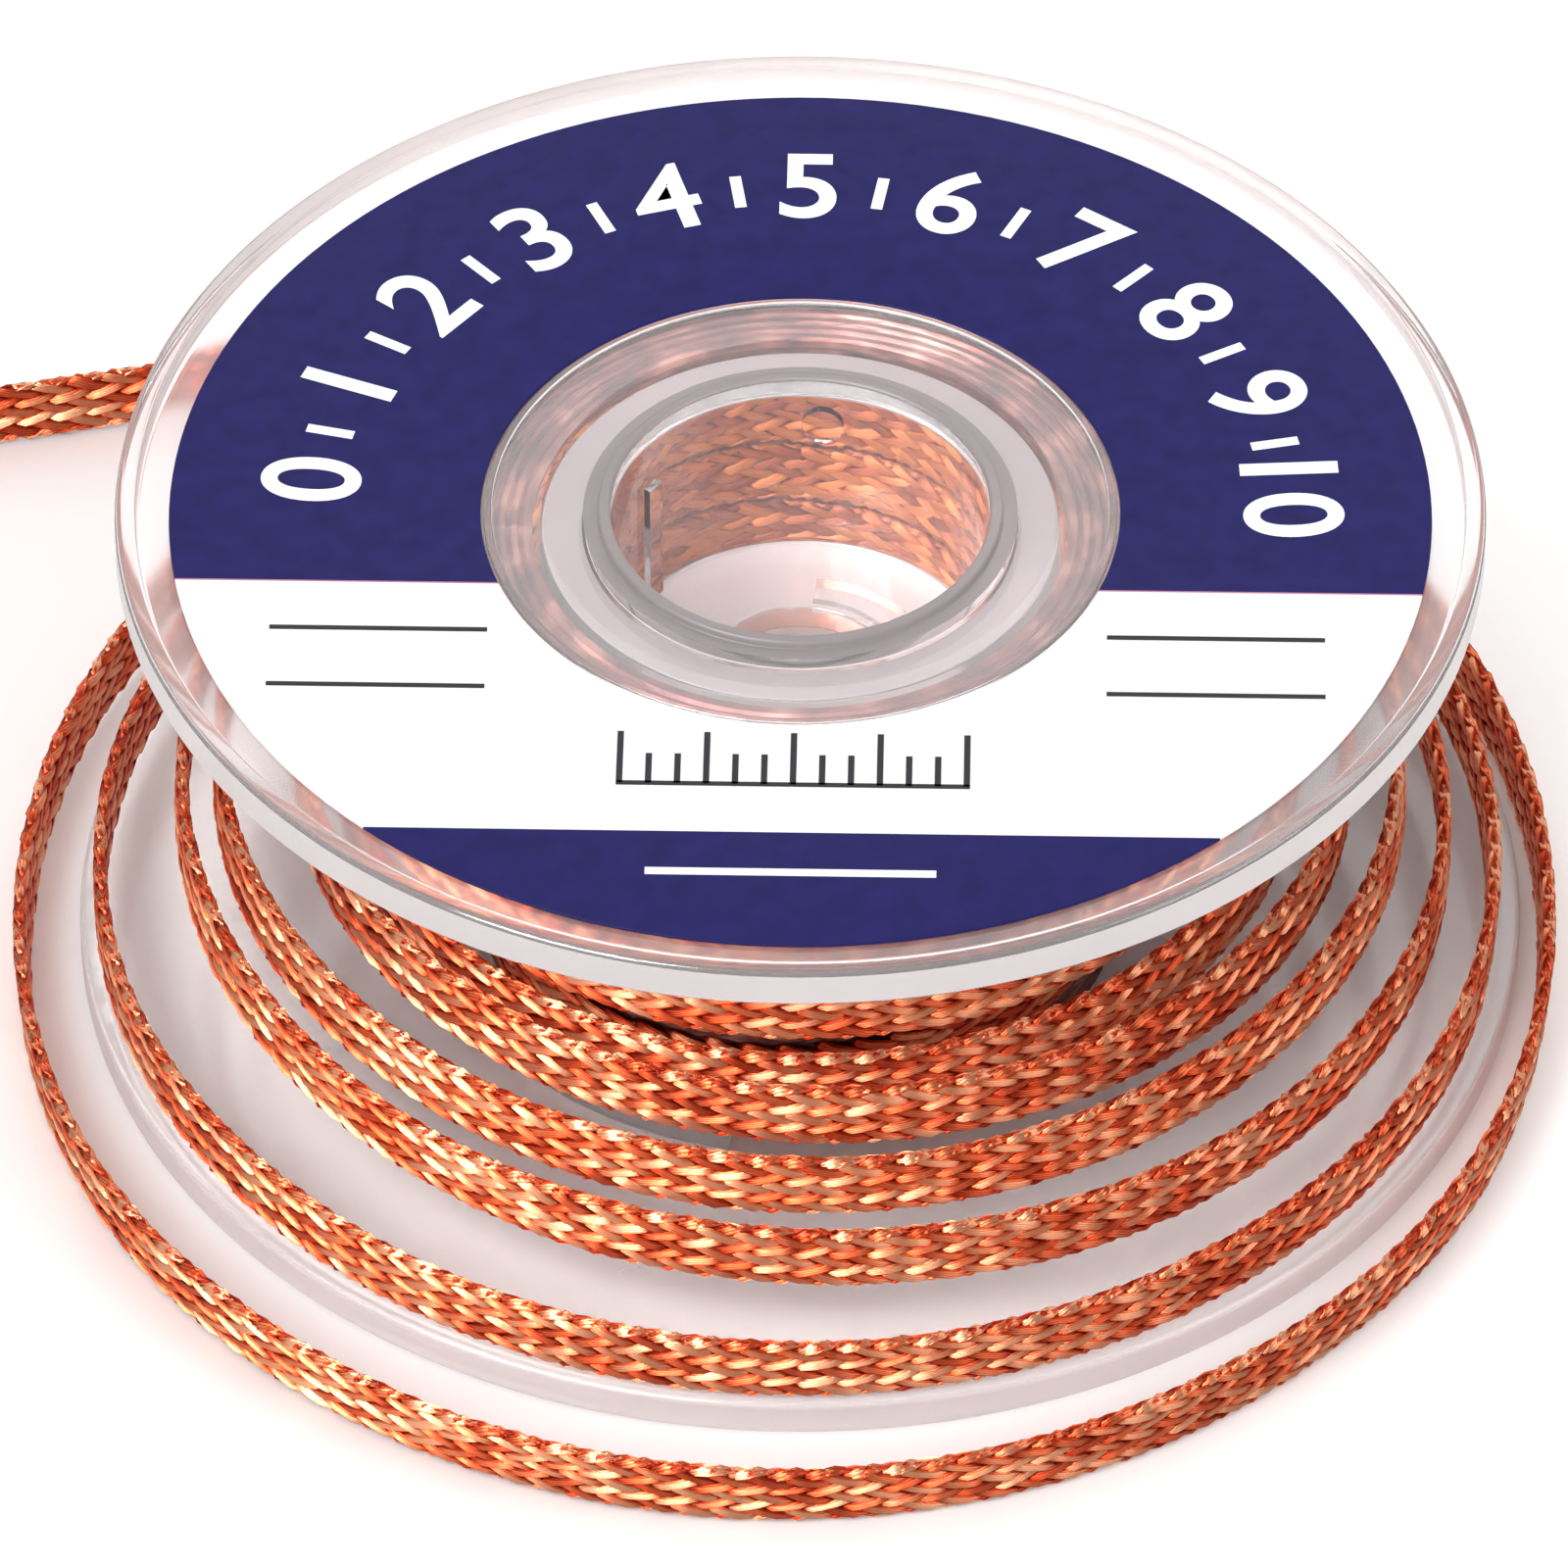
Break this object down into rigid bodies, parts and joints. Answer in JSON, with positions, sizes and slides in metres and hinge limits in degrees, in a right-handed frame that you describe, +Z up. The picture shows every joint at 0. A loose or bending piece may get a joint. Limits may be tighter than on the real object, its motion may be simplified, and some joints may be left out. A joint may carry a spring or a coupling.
{
  "type": "desoldering braid spool",
  "caption": "Clear plastic spool of flat woven copper braid standing on its larger flange, with a label disc, a hollow hub and the last turns sprung loose round its base.",
  "frame": {"origin": "middle of the spool's underside, on its axis, at the level of the surface it stands on", "axes": "+Z up along the spool's axis, +Y to the back as pictured, +X to the right"},
  "size_m": [0.062, 0.0602, 0.0205],
  "materials": {
    "clear_plastic": "clear moulded plastic with a faint pink cast, glossy, frosted on the end of the hub barrel",
    "label_paper": "smooth coated label, deep blue with a white band, satin",
    "copper_braid": "bare bright copper, flat woven braid, dark between its strands"
  },
  "bodies": {
    "root": {"spool_base": "clear_plastic", "spool_cover": "clear_plastic", "printed_label": "label_paper", "wound_braid": "copper_braid", "loose_braid_upper": "copper_braid", "loose_braid_middle": "copper_braid", "loose_braid_lower": "copper_braid"}
  },
  "joints": []
}
